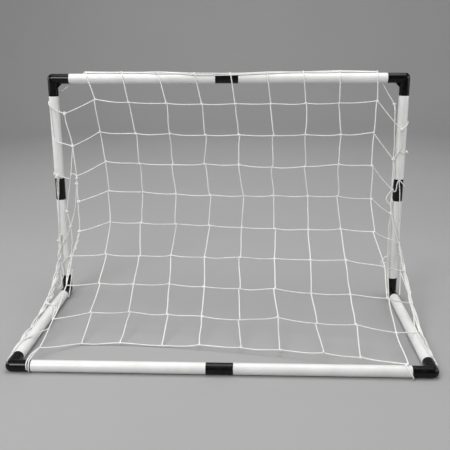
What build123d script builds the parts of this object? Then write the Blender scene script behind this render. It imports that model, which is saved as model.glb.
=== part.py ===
"""Knock-down play goal: push-fit plastic tubes, elbows and couplers, hung with a knotted net.

The frame stands on the ground with +Z up and its width along X. The goal mouth is the upright
hoop at +Y; the rear bar lies on the ground at -Y. The origin is on the ground, at the middle of
the footprint. All sizes are in millimetres.
"""

import os
from math import cos, hypot, radians, sin

from build123d import *

# --- Frame: outside sizes ---
goal_width = 920.0
goal_height = 600.0
goal_depth = 480.0

# --- Tubes ---
tube_diameter = 25.4
tube_wall = 1.6
tube_rim_rounding = 0.6

# --- Connectors ---
elbow_leg = 43.8  # from where the leg axes cross to the shoulder that the tube butts on
elbow_web_leg = 10.0
elbow_web_thickness = 4.0
elbow_web_root = 6.0  # how far inside the legs' corner the web starts, from their axes
coupler_shoulder_gap = 58.2  # length of coupler that shows between two tubes
spigot_length = 40.0
spigot_wall = 2.2
spigot_clearance = 0.05  # radial, spigot in tube
spigot_lead_in = 1.5
shoulder_rounding = 0.5

# --- Net ---
twine = 2.2
border_cord = 3.6
bundle_diameter = 7.0
net_clearance = 0.4  # between the net and any tube or connector
net_columns = 10
net_body_gap = 1.5  # left between net bands that ride on different parts of the frame
hang_height = 297.0  # the net hangs straight down from the crossbar to here

# Where the sloping net bends, as (distance behind the hanging net, height above ground)
net_bend_high = (45.0, 213.0)
net_bend_low = (168.0, 92.0)
net_foot = (310.0, 6.0)
net_side_gap = 17.0  # between the axis of a post and the net's outermost column
net_foot_side_gap = 50.0  # the same at the foot, which is drawn in

# Level strands, as shares of the way down each band of the net
net_rows_upper = [0.19, 0.47, 0.75]
net_rows_middle = [0.05]
net_rows_sloping = [0.03, 0.5]

# Gathered side edge of the net, an arc through three points
bundle_top = (24.0, 165.0)  # (distance behind the post axis, height)
bundle_middle = (180.0, 78.0)  # the same
bundle_foot = (24.6, 20.0)  # (distance in front of the rear bar's axis, height)

lacing_shares_lower = [0.43, 0.76]  # of the way from the hanging net's end down to the bundle's top
corner_tie_gap = 1.3  # along the rear bar, from the elbow's web to the middle of the tie's loop
corner_tie_opening = 80.0  # degrees left open under the elbow, where it rests on the ground
corner_tie_exit = 60.0  # degrees above the horizontal where the tie leaves its loop

radius_match = 0.0001  # when edges are picked by their radius
STRAIGHT_UP = 90.0  # angles round a level tube, from the goal mouth's side
STRAIGHT_DOWN = 270.0

# --- Derived places ---
tube_radius = tube_diameter / 2
tube_bore = tube_radius - tube_wall
spigot_radius = tube_bore - spigot_clearance
duct_radius = spigot_radius - spigot_wall
post_x = goal_width / 2 - tube_radius
mouth_y = goal_depth / 2 - tube_radius
rear_y = -mouth_y
ground_z = tube_radius
crossbar_z = goal_height - tube_radius
post_middle_z = (ground_z + crossbar_z) / 2
half_coupler = coupler_shoulder_gap / 2
corner_tie_inset = tube_radius + elbow_web_leg + corner_tie_gap  # from the post axis

LEFT = -1
RIGHT = 1
SIDES = {"left": LEFT, "right": RIGHT}


def ray_plane(start, direction):
    """A plane at start whose normal points along direction."""
    return Plane(origin=start, z_dir=direction)


def rod(radius, start, direction, length):
    """A solid round rod from start, along direction."""
    return extrude(ray_plane(start, direction) * Circle(radius), length)


def circles(solid, radius):
    """The circular edges of that radius."""
    round_edges = solid.edges().filter_by(GeomType.CIRCLE)
    return round_edges.filter_by(lambda edge: abs(edge.radius - radius) < radius_match)


def tube(start, end):
    """A plain tube between two points on its axis, with its outer rims rounded."""
    axis = Vector(*end) - Vector(*start)
    profile = Circle(tube_radius) - Circle(tube_bore)
    body = extrude(ray_plane(start, axis) * profile, axis.length)
    return fillet(circles(body, tube_radius), tube_rim_rounding)


def spigot(corner, direction, shoulder):
    """A solid spigot from inside the connector to its tip, with a lead-in on the tip."""
    start = Vector(*corner)
    reach = shoulder + spigot_length
    pin = rod(spigot_radius, start, direction, reach)
    tip = pin.faces().sort_by(Axis(start, direction))[-1]
    return chamfer(tip.edges(), spigot_lead_in)


def elbow(corner, first, second):
    """A right-angle connector: two legs, a ball corner, a web inside the corner, two hollow spigots.

    It is made with its legs along X and Y, then turned so that they run along first and second.
    """
    body = Sphere(tube_radius)
    duct = Sphere(duct_radius)
    for direction in ((1, 0, 0), (0, 1, 0)):
        leg = rod(tube_radius, (0, 0, 0), direction, elbow_leg)
        rim = leg.faces().sort_by(Axis((0, 0, 0), direction))[-1].edges()
        body += fillet(rim, shoulder_rounding) + spigot((0, 0, 0), direction, elbow_leg)
        duct += rod(duct_radius, (0, 0, 0), direction, elbow_leg + spigot_length)
    body = body + elbow_web() - duct
    return Plane(origin=corner, x_dir=first, z_dir=Vector(*first).cross(Vector(*second))) * body


def elbow_web():
    """The flat triangular web that ties the legs along X and Y together inside their corner."""
    root = elbow_web_root
    reach = tube_radius + elbow_web_leg
    outline = Polyline((root, root), (reach, root), (reach, tube_radius), (tube_radius, reach),
                       (root, reach), close=True)
    return extrude(make_face(outline), elbow_web_thickness / 2, both=True)


def coupler(centre, direction):
    """A straight connector: a sleeve as thick as the tube, with a hollow spigot at each end."""
    middle = Vector(*centre)
    axis = Vector(*direction)
    sleeve = rod(tube_radius, middle - axis * half_coupler, axis, coupler_shoulder_gap)
    body = fillet(circles(sleeve, tube_radius), shoulder_rounding)
    body += spigot(middle, axis, half_coupler) + spigot(middle, -axis, half_coupler)
    reach = half_coupler + spigot_length
    return body - rod(duct_radius, middle - axis * reach, axis, 2 * reach)


def strand(start, end, face_normal, thickness=twine):
    """One straight strand of the netting, square in section, from start to end."""
    line = Vector(*end) - Vector(*start)
    plane = Plane(origin=start, x_dir=face_normal, z_dir=line)
    return extrude(plane * Rectangle(thickness, thickness), line.length)


def net_band(top, bottom, top_half, bottom_half, rows):
    """A flat band of square netting between two level lines, one solid for each strand.

    top and bottom are (y, z); top_half and bottom_half are half the band's width there. rows are
    the shares of the way down at which a level strand runs. The level strands lie against the
    outside of the others, where the knots hold them.
    """
    down = Vector(0, bottom[0] - top[0], bottom[1] - top[1])
    normal = Vector(1, 0, 0).cross(down)
    outward = -normal.normalized() * twine
    strands = []
    for column in range(net_columns + 1):
        share = 2 * column / net_columns - 1
        strands.append(strand((share * top_half, *top), (share * bottom_half, *bottom), normal))
    for row in rows:
        y = top[0] + row * (bottom[0] - top[0]) + outward.Y
        z = top[1] + row * (bottom[1] - top[1]) + outward.Z
        half = top_half + row * (bottom_half - top_half) + twine / 2
        strands.append(strand((-half, y, z), (half, y, z), normal))
    return Compound(children=strands)


def inset(from_point, to_point, distance):
    """from_point moved that distance towards to_point, for (y, z) points."""
    share = distance / hypot(to_point[0] - from_point[0], to_point[1] - from_point[1])
    return tuple(a + share * (b - a) for a, b in zip(from_point, to_point))


def loop(centre, axis, start_angle, sweep_angle):
    """A twine loop round a tube: an arc of a ring, its angle 0 towards the goal mouth."""
    plane = Plane(origin=centre, x_dir=(0, 1, 0), z_dir=axis)
    path = plane * CenterArc((0, 0), loop_radius, start_angle, sweep_angle)
    return sweep(ray_plane(path @ 0, path % 0) * Circle(twine / 2), path)


def corner_tie(sign):
    """A loop over the rear elbow, open where it rests on the ground, and its strand to the foot."""
    x = sign * (post_x - corner_tie_inset)
    bottom = STRAIGHT_DOWN + corner_tie_opening / 2
    wrap = loop((x, rear_y, ground_z), (1, 0, 0), bottom, 360 - corner_tie_opening)
    exit_angle = radians(corner_tie_exit)
    exit_point = (x, rear_y + loop_radius * cos(exit_angle), ground_z + loop_radius * sin(exit_angle))
    foot_corner = (sign * foot_half, foot[0] - border_cord, foot[1])
    return wrap + strand(exit_point, foot_corner, (0, 0, 1))


# --- Frame pieces ---
parts = {}

for side, sign in SIDES.items():
    away = (sign, 0, 0)
    inward = (-sign, 0, 0)
    x = sign * post_x
    bar_near = sign * half_coupler
    bar_far = sign * (post_x - elbow_leg)

    parts[f"crossbar_tube_{side}"] = tube((bar_near, mouth_y, crossbar_z), (bar_far, mouth_y, crossbar_z))
    parts[f"rear_bar_tube_{side}"] = tube((bar_near, rear_y, ground_z), (bar_far, rear_y, ground_z))
    parts[f"upper_post_tube_{side}"] = tube(
        (x, mouth_y, post_middle_z + half_coupler), (x, mouth_y, crossbar_z - elbow_leg)
    )
    parts[f"lower_post_tube_{side}"] = tube(
        (x, mouth_y, ground_z + elbow_leg), (x, mouth_y, post_middle_z - half_coupler)
    )
    parts[f"ground_side_tube_{side}"] = tube(
        (x, rear_y + elbow_leg, ground_z), (x, mouth_y - elbow_leg, ground_z)
    )
    parts[f"top_elbow_{side}"] = elbow((x, mouth_y, crossbar_z), inward, (0, 0, -1))
    parts[f"base_elbow_{side}"] = elbow((x, mouth_y, ground_z), (0, -1, 0), (0, 0, 1))
    parts[f"rear_elbow_{side}"] = elbow((x, rear_y, ground_z), inward, (0, 1, 0))
    parts[f"post_coupler_{side}"] = coupler((x, mouth_y, post_middle_z), (0, 0, 1))

parts["crossbar_coupler"] = coupler((0, mouth_y, crossbar_z), (1, 0, 0))
parts["rear_bar_coupler"] = coupler((0, rear_y, ground_z), (1, 0, 0))

# --- Net ---
loop_radius = tube_radius + net_clearance + twine / 2
hang_y = mouth_y - loop_radius
net_half = post_x - net_side_gap
foot_half = post_x - net_foot_side_gap
straight_top = (hang_y, crossbar_z)
straight_foot = (hang_y, hang_height)
high = (hang_y - net_bend_high[0], net_bend_high[1])
low = (hang_y - net_bend_low[0], net_bend_low[1])
foot = (hang_y - net_foot[0], net_foot[1])
low_half = (net_half + foot_half) / 2

parts["net_upper"] = net_band(straight_top, (hang_y, hang_height + net_body_gap), net_half, net_half,
                              net_rows_upper)
parts["net_middle"] = net_band(straight_foot, inset(high, straight_foot, net_body_gap), net_half, net_half,
                               net_rows_middle)
parts["net_lower"] = net_band(high, inset(low, high, net_body_gap), net_half, low_half,
                             net_rows_sloping)
parts["net_foot"] = net_band(low, foot, low_half, foot_half, net_rows_sloping)

column_gap = 2 * net_half / net_columns
top_columns = [column_gap * (number - net_columns / 2) for number in range(1, net_columns)]
top_cord_z = goal_height + net_clearance + twine + border_cord / 2
top_cord_end = top_columns[-1] + border_cord
parts["net_top_border"] = strand((-top_cord_end, mouth_y, top_cord_z), (top_cord_end, mouth_y, top_cord_z),
                                 (0, 0, 1), border_cord)
parts["net_top_loops"] = Compound(
    children=[loop((x, mouth_y, crossbar_z), (1, 0, 0), STRAIGHT_UP, 90) for x in top_columns]
)

band_slope = Vector(1, 0, 0).cross(Vector(0, foot[0] - low[0], foot[1] - low[1]))
cord_line = inset(foot, low, -border_cord / 2)
parts["net_foot_border"] = strand((-foot_half - border_cord / 2, *cord_line),
                                  (foot_half + border_cord / 2, *cord_line), band_slope, border_cord)

hang_end = hang_height + net_body_gap
lacing = {
    "upper": [crossbar_z - row * (crossbar_z - hang_end) for row in net_rows_upper],
    "lower": [hang_height - share * (hang_height - bundle_top[1]) for share in lacing_shares_lower],
}
for side, sign in SIDES.items():
    x = sign * post_x
    for name, heights in lacing.items():
        rings = [loop((x, mouth_y, height), (0, 0, 1), 0, 360) for height in heights]
        parts[f"post_lacing_{name}_{side}"] = Compound(children=rings)
    bundle_x = sign * (goal_width / 2 + net_clearance + bundle_diameter / 2)
    route = ThreePointArc(
        (bundle_x, mouth_y - bundle_top[0], bundle_top[1]),
        (bundle_x, mouth_y - bundle_middle[0], bundle_middle[1]),
        (bundle_x, rear_y + bundle_foot[0], bundle_foot[1]),
    )
    parts[f"net_edge_bundle_{side}"] = sweep(
        ray_plane(route @ 0, route % 0) * Circle(bundle_diameter / 2), route
    )
    parts[f"net_corner_tie_{side}"] = corner_tie(sign)

os.makedirs("parts", exist_ok=True)
for node, shape in parts.items():
    export_step(shape, f"parts/{node}.step")
    print(f"{node}: {len(shape.solids())} solid(s), {shape.volume / 1000:.1f} cm3")
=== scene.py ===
"""Looks of a knock-down play goal: white push-fit tubes, black connectors and a knotted net.

Everything is in metres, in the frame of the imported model: +Z is up, the width runs along X, the
goal mouth is the upright hoop at +Y and the rear ground bar lies at -Y.
"""

import logging
import math
from dataclasses import dataclass, field
from enum import Enum
from typing import Sequence

import bpy
import numpy as np
from mathutils import Matrix, Vector


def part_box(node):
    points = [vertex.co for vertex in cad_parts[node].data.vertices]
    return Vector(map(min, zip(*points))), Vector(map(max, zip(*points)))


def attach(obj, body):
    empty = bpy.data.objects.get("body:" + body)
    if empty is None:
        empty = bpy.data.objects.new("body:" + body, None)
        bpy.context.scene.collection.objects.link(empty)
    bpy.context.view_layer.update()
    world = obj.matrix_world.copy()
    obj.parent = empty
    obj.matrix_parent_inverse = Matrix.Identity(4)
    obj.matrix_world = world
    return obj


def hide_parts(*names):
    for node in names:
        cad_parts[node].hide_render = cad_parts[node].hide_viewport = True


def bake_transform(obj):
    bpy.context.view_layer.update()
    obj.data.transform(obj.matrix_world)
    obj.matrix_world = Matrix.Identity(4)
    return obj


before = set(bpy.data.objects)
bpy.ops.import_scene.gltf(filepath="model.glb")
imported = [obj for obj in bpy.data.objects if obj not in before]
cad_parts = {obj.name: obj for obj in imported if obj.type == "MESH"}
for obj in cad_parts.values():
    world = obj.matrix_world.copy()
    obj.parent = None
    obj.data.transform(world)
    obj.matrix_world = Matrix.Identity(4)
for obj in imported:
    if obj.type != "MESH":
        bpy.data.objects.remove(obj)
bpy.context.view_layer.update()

LOG = logging.getLogger("play_goal")
MM = 0.001
SPAN_STEPS = 12  # how many steps a smooth line takes from one of its points to the next
HANGING_GAP = 0.4 * MM  # between a hanging string and the tube beside it
LYING_GAP = 0.3 * MM  # between a cord that is tied round a tube and the tube's face
TINY = 1e-9  # metres, so that nothing is divided by zero
ANY_TURN = 6.3  # radians, just over a full turn: random turns are drawn from 0 to this

Point = tuple[float, float, float]
Colour = tuple[float, float, float]
Span = tuple[float, float]
Route = tuple[Point, ...]  # (inset, behind, height) points beside a post, in millimetres


class Side(Enum):
    """The two sides of the goal, as seen from behind the rear bar."""

    LEFT = -1
    RIGHT = 1

    @property
    def word(self) -> str:
        """The side's name in a node's or piece's name."""
        return self.name.lower()


class Run(Enum):
    """The direction that a tube runs in."""

    ACROSS = 0
    BACK = 1
    UP = 2


class Body(Enum):
    """The bodies that move apart when the frame is taken down."""

    BASE = "base"
    POSTS = "lower_posts"
    TOP = "upper_frame"


class Stretch(Enum):
    """Where the net stretches: from which body to which, and between which heights in metres."""

    LOWER = (Body.BASE, Body.POSTS, 0.02, 0.20)
    UPPER = (Body.POSTS, Body.TOP, 0.33, 0.57)


@dataclass(frozen=True)
class FramePlaces:
    """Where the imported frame's tubes are."""

    radius: float
    post_x: float
    mouth_y: float
    rear_y: float
    crossbar_z: float
    ground_z: float

    @classmethod
    def read(cls) -> "FramePlaces":
        """Reads the tubes' boxes.

        Returns:
            The places of the tubes' axes and their radius.
        """
        post_low, post_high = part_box("upper_post_tube_right")
        bar_low, bar_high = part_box("rear_bar_tube_right")
        top_low, top_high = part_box("crossbar_tube_right")
        return cls(
            radius=(post_high[0] - post_low[0]) / 2,
            post_x=(post_low[0] + post_high[0]) / 2,
            mouth_y=(post_low[1] + post_high[1]) / 2,
            rear_y=(bar_low[1] + bar_high[1]) / 2,
            crossbar_z=(top_low[2] + top_high[2]) / 2,
            ground_z=(bar_low[2] + bar_high[2]) / 2,
        )

    def spot(self, side: Side, hang_y: float, inset: float, behind: float, height: float) -> np.ndarray:
        """A place beside one of the posts.

        Args:
            side: the post's side.
            hang_y: where the hanging net is.
            inset: millimetres inwards from the post's axis.
            behind: millimetres behind the hanging net.
            height: millimetres above the ground.

        Returns:
            The place in the frame, in metres.
        """
        return np.array([side.value * (self.post_x - inset * MM), hang_y - behind * MM, height * MM])

    def round_crossbar(self, x: np.ndarray, angles: np.ndarray, reach: np.ndarray | float) -> np.ndarray:
        """Places points round the crossbar.

        Args:
            x: where they are along it.
            angles: how far round it they are, in radians, from the mouth over its top to the net.
            reach: how far from its axis they are.

        Returns:
            The points.
        """
        back, up = reach * np.cos(angles), reach * np.sin(angles)
        return np.stack([x, self.mouth_y + back, self.crossbar_z + up], axis=1)

    def capsules(self) -> list[tuple[Point, Point]]:
        """The axes of every tube run, which the net must stay outside of.

        Returns:
            Pairs of end points.
        """
        found = [
            ((-self.post_x, self.mouth_y, self.crossbar_z), (self.post_x, self.mouth_y, self.crossbar_z)),
            ((-self.post_x, self.rear_y, self.ground_z), (self.post_x, self.rear_y, self.ground_z)),
        ]
        for side in Side:
            x = side.value * self.post_x
            found.append(((x, self.mouth_y, self.ground_z), (x, self.mouth_y, self.crossbar_z)))
            found.append(((x, self.rear_y, self.ground_z), (x, self.mouth_y, self.ground_z)))
        return found


def placed(name: str, data: bpy.types.ID) -> bpy.types.Object:
    """Adds an object to the scene.

    Args:
        name: the object's name.
        data: its mesh, light or camera.

    Returns:
        The object.
    """
    made = bpy.data.objects.new(name, data)
    bpy.context.scene.collection.objects.link(made)
    return made


class NodeKit:
    """Adds nodes to a shader or geometry tree and joins their sockets."""

    def __init__(self, tree: bpy.types.NodeTree) -> None:
        """Keeps the tree.

        Args:
            tree: the node tree to add to.
        """
        self.tree = tree

    def add(self, kind: str, inputs: dict | None = None, **settings) -> bpy.types.Node:
        """Adds a node.

        Args:
            kind: the node's type name.
            inputs: values or output sockets, by input name or number.
            settings: the node's own properties.

        Returns:
            The new node.
        """
        node = self.tree.nodes.new(kind)
        for name, value in settings.items():
            setattr(node, name, value)
        for key, value in (inputs or {}).items():
            if isinstance(value, bpy.types.NodeSocket):
                self.tree.links.new(value, node.inputs[key])
            else:
                node.inputs[key].default_value = value
        return node

    def math(self, operation: str, first: float | bpy.types.NodeSocket,
             second: float | bpy.types.NodeSocket = 0.0) -> bpy.types.NodeSocket:
        """Adds a math node and gives its output.

        Args:
            operation: the node's operation.
            first: a value or socket.
            second: a value or socket.

        Returns:
            The node's output socket.
        """
        node = self.add("ShaderNodeMath", {0: first, 1: second}, operation=operation)
        return node.outputs[0]

    def remap(self, value: bpy.types.NodeSocket, span: Span,
              to: Span = (0.0, 1.0)) -> bpy.types.NodeSocket:
        """Adds a clamped map range.

        Args:
            value: the socket to remap.
            span: where its range starts and ends.
            to: what the span's ends become.

        Returns:
            The remapped socket.
        """
        node = self.add("ShaderNodeMapRange", {0: value, 1: span[0], 2: span[1], 3: to[0], 4: to[1]})
        return node.outputs[0]

    def noise(self, where: bpy.types.NodeSocket, scale: float, detail: float,
              roughness: float = 0.55) -> bpy.types.NodeSocket:
        """Adds a noise texture and gives its factor.

        Args:
            where: the vector to read.
            scale: the texture's scale.
            detail: its octaves.
            roughness: how strong the fine octaves are.

        Returns:
            The factor's socket.
        """
        node = self.add("ShaderNodeTexNoise",
                        {"Vector": where, "Scale": scale, "Detail": detail, "Roughness": roughness})
        return node.outputs[0]

    def place(self, scale: Point = (1.0, 1.0, 1.0)) -> bpy.types.NodeSocket:
        """Adds object coordinates through a mapping.

        Args:
            scale: the mapping's scale.

        Returns:
            The mapped vector.
        """
        given = self.add("ShaderNodeTexCoord").outputs["Object"]
        return self.add("ShaderNodeMapping", {"Vector": given, "Scale": scale}).outputs[0]

    def drawn_out(self, run: Run, scale: float, run_scale: float) -> bpy.types.NodeSocket:
        """Adds object coordinates that are drawn out along a tube.

        Args:
            run: the tube's direction.
            scale: the mapping's scale across the tube.
            run_scale: its scale along the tube.

        Returns:
            The mapped vector.
        """
        scales = [scale] * 3
        scales[run.value] = run_scale
        return self.place(tuple(scales))

    def blend(self, share: bpy.types.NodeSocket, first: Colour | bpy.types.NodeSocket,
              second: Colour | bpy.types.NodeSocket) -> bpy.types.NodeSocket:
        """Adds a colour mix.

        Args:
            share: 0 gives first, 1 gives second.
            first: a colour, or a socket.
            second: a colour, or a socket.

        Returns:
            The mixed colour.
        """
        node = self.add("ShaderNodeMix", data_type="RGBA")
        self.tree.links.new(share, node.inputs[0])
        for key, value in ((6, first), (7, second)):
            if isinstance(value, bpy.types.NodeSocket):
                self.tree.links.new(value, node.inputs[key])
            else:
                node.inputs[key].default_value = (*value, 1.0)
        return node.outputs[2]


def new_material(name: str, constants: dict[str, float], display: Colour
                 ) -> tuple[bpy.types.Material, NodeKit, bpy.types.Node]:
    """Starts a material with a Principled shader.

    Args:
        name: the material's name.
        constants: values set on the shader's own sockets.
        display: the viewport colour.

    Returns:
        The material, a kit on its tree, and the shader node.
    """
    material = bpy.data.materials.new(name)
    material.use_nodes = True
    material.diffuse_color = (*display, 1.0)
    shader = material.node_tree.nodes["Principled BSDF"]
    for key, value in constants.items():
        shader.inputs[key].default_value = value
    return material, NodeKit(material.node_tree), shader


def join_shader(kit: NodeKit, shader: bpy.types.Node, colour: bpy.types.NodeSocket,
                roughness: bpy.types.NodeSocket, height: bpy.types.NodeSocket, distance: float) -> None:
    """Joins colour, roughness and bump to a Principled shader.

    Args:
        shader: the Principled node.
        colour: the base colour.
        roughness: the roughness.
        height: the bump's height, about 0 to 1.
        distance: the bump's height in metres.
    """
    bump = kit.add("ShaderNodeBump", {"Height": height, "Distance": distance, "Strength": 1.0})
    kit.tree.links.new(colour, shader.inputs["Base Color"])
    kit.tree.links.new(roughness, shader.inputs["Roughness"])
    kit.tree.links.new(bump.outputs[0], shader.inputs["Normal"])


@dataclass(frozen=True)
class WhiteTubeFinish:
    """Extruded white plastic: faint draw lines along the tube, handling smudges and small scuffs."""

    white: Colour = (0.80, 0.80, 0.79)
    shade: Colour = (0.70, 0.70, 0.685)
    scuff: Colour = (0.42, 0.41, 0.39)
    gloss: float = 0.30
    dull: float = 0.46
    line_scales: Span = (420.0, 3.0)  # across the tube and along it
    scratch_scales: Span = (900.0, 14.0)
    smudge_scale: float = 16.0
    patch_scale: float = 55.0
    grain_scale: float = 1600.0
    scratch_span: Span = (0.66, 0.72)
    patch_span: Span = (0.55, 0.68)
    shade_span: Span = (0.35, 0.72)
    dull_span: Span = (0.3, 0.7)
    scuff_tone: float = 0.55
    scuff_roughness: float = 0.2
    scuff_depth: float = 0.6
    grain_depth: float = 0.25
    line_height: float = 0.05 * MM

    def build(self, run: Run) -> bpy.types.Material:
        """Makes the finish for tubes that run one way.

        Args:
            run: the direction of the tubes.

        Returns:
            The material.
        """
        material, kit, shader = new_material(
            f"extruded_white_{run.name.lower()}",
            {"IOR": 1.5, "Specular IOR Level": 0.5, "Coat Weight": 0.12, "Coat Roughness": 0.18,
             "Subsurface Weight": 0.06, "Subsurface Scale": 0.004},
            self.white,
        )
        lines = kit.noise(kit.drawn_out(run, *self.line_scales), scale=1.0, detail=3.0)
        scratches = kit.noise(kit.drawn_out(run, *self.scratch_scales), scale=1.0, detail=2.0)
        plain = kit.place()
        smudge = kit.noise(plain, self.smudge_scale, detail=5.0, roughness=0.6)
        patch = kit.noise(plain, self.patch_scale, detail=6.0, roughness=0.65)
        grain = kit.noise(plain, self.grain_scale, detail=2.0)
        scuffed = kit.math("MULTIPLY", kit.remap(scratches, self.scratch_span),
                           kit.remap(patch, self.patch_span))
        tone = kit.blend(kit.remap(smudge, self.shade_span), self.white, self.shade)
        tone = kit.blend(kit.math("MULTIPLY", scuffed, self.scuff_tone), tone, self.scuff)
        rough = kit.remap(smudge, self.dull_span, (self.gloss, self.dull))
        rough = kit.math("ADD", rough, kit.math("MULTIPLY", scuffed, self.scuff_roughness))
        height = kit.math("ADD", lines, kit.math("MULTIPLY", grain, self.grain_depth))
        height = kit.math("SUBTRACT", height, kit.math("MULTIPLY", scuffed, self.scuff_depth))
        join_shader(kit, shader, tone, rough, height, self.line_height)
        return material


@dataclass(frozen=True)
class BlackConnectorFinish:
    """Moulded near-black plastic: glossy, with a fine skin, flow marks, dust and rubbed patches."""

    black: Colour = (0.002, 0.002, 0.0022)
    grey: Colour = (0.005, 0.005, 0.0053)
    dust: Colour = (0.11, 0.11, 0.105)
    gloss: float = 0.17
    dull: float = 0.34
    flow_scale: float = 30.0
    patch_scale: float = 70.0
    skin_scale: float = 900.0
    speck_scale: float = 1900.0
    speck_span: Span = (0.68, 0.74)
    dust_span: Span = (0.5, 0.7)
    grey_span: Span = (0.35, 0.7)
    dull_span: Span = (0.35, 0.7)
    dust_tone: float = 0.5
    dust_roughness: float = 0.3
    flow_depth: float = 0.5
    skin_depth: float = 0.35
    skin_height: float = 0.03 * MM

    def build(self) -> bpy.types.Material:
        """Makes the finish.

        Returns:
            The material.
        """
        material, kit, shader = new_material(
            "moulded_black",
            {"IOR": 1.52, "Specular IOR Level": 0.2, "Coat Weight": 0.08, "Coat Roughness": 0.1},
            self.black,
        )
        plain = kit.place()
        flow = kit.noise(plain, self.flow_scale, detail=4.0, roughness=0.6)
        skin = kit.noise(plain, self.skin_scale, detail=3.0)
        patch = kit.noise(plain, self.patch_scale, detail=5.0, roughness=0.65)
        speck = kit.noise(plain, self.speck_scale, detail=1.0)
        dusty = kit.math("MULTIPLY", kit.remap(speck, self.speck_span), kit.remap(patch, self.dust_span))
        tone = kit.blend(kit.remap(flow, self.grey_span), self.black, self.grey)
        tone = kit.blend(kit.math("MULTIPLY", dusty, self.dust_tone), tone, self.dust)
        rough = kit.remap(patch, self.dull_span, (self.gloss, self.dull))
        rough = kit.math("ADD", rough, kit.math("MULTIPLY", dusty, self.dust_roughness))
        height = kit.math("ADD", kit.math("MULTIPLY", flow, self.flow_depth),
                          kit.math("MULTIPLY", skin, self.skin_depth))
        join_shader(kit, shader, tone, rough, height, self.skin_height)
        return material


@dataclass(frozen=True)
class TwineFinish:
    """Bleached spun twine: soft fibres with a slight sheen, greyer handled stretches, and spots of painted
    shade that stand in for the hollows between the plies.
    """

    bright: Colour = (0.86, 0.86, 0.845)
    worn: Colour = (0.66, 0.655, 0.63)
    # painted shade: the grey that stands in for the shade in the hollows between the plies
    painted_hollow_shade: Colour = (0.50, 0.50, 0.485)
    soft: float = 0.66
    dull: float = 0.9
    handled_scale: float = 11.0
    hollow_shade_scale: float = 500.0
    fibre_scale: float = 1500.0
    handled_span: Span = (0.4, 0.75)
    hollow_shade_span: Span = (0.55, 0.75)
    fibre_span: Span = (0.3, 0.7)
    painted_hollow_share: float = 0.5
    fibre_height: float = 0.12 * MM

    def build(self) -> bpy.types.Material:
        """Makes the finish.

        Returns:
            The material.
        """
        material, kit, shader = new_material(
            "spun_twine",
            {"IOR": 1.45, "Specular IOR Level": 0.3, "Sheen Weight": 0.35, "Sheen Roughness": 0.5,
             "Subsurface Weight": 0.1, "Subsurface Scale": 0.001},
            self.bright,
        )
        plain = kit.place()
        handled = kit.noise(plain, self.handled_scale, detail=5.0, roughness=0.6)
        fibres = kit.noise(plain, self.fibre_scale, detail=3.0, roughness=0.6)
        hollow_shade_spots = kit.noise(plain, self.hollow_shade_scale, detail=2.0)
        tone = kit.blend(kit.remap(handled, self.handled_span), self.bright, self.worn)
        # painted shade: noise spots darken the twine towards the hollow grey, in place of the shade
        # between the plies; the spots don't follow the cord's real plies
        tone = kit.blend(kit.remap(hollow_shade_spots, self.hollow_shade_span, (0.0, self.painted_hollow_share)), tone, self.painted_hollow_shade)
        rough = kit.remap(fibres, self.fibre_span, (self.soft, self.dull))
        join_shader(kit, shader, tone, rough, fibres, self.fibre_height)
        return material


@dataclass(frozen=True)
class FloorFinish:
    """A plain pale studio floor."""

    pale: Colour = (0.33, 0.33, 0.33)
    paler: Colour = (0.36, 0.36, 0.36)
    cloud_scale: float = 1.3
    grain_scale: float = 240.0
    grain_span: Span = (0.3, 0.7)
    roughness: Span = (0.72, 0.86)
    grain_height: float = 0.1 * MM

    def build(self) -> bpy.types.Material:
        """Makes the finish.

        Returns:
            The material.
        """
        material, kit, shader = new_material("studio_floor", {"Specular IOR Level": 0.2}, self.pale)
        plain = kit.place()
        cloud = kit.noise(plain, self.cloud_scale, detail=3.0)
        grain = kit.noise(plain, self.grain_scale, detail=3.0)
        tone = kit.blend(cloud, self.pale, self.paler)
        rough = kit.remap(grain, self.grain_span, self.roughness)
        join_shader(kit, shader, tone, rough, grain, self.grain_height)
        return material


@dataclass(frozen=True)
class Finishes:
    """Every finish, made once."""

    tubes: dict[Run, bpy.types.Material]
    connector: bpy.types.Material
    twine: bpy.types.Material
    floor: bpy.types.Material

    @classmethod
    def make(cls) -> "Finishes":
        """Makes the materials.

        Returns:
            The finishes.
        """
        return cls(
            tubes={run: WhiteTubeFinish().build(run) for run in Run},
            connector=BlackConnectorFinish().build(),
            twine=TwineFinish().build(),
            floor=FloorFinish().build(),
        )


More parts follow.
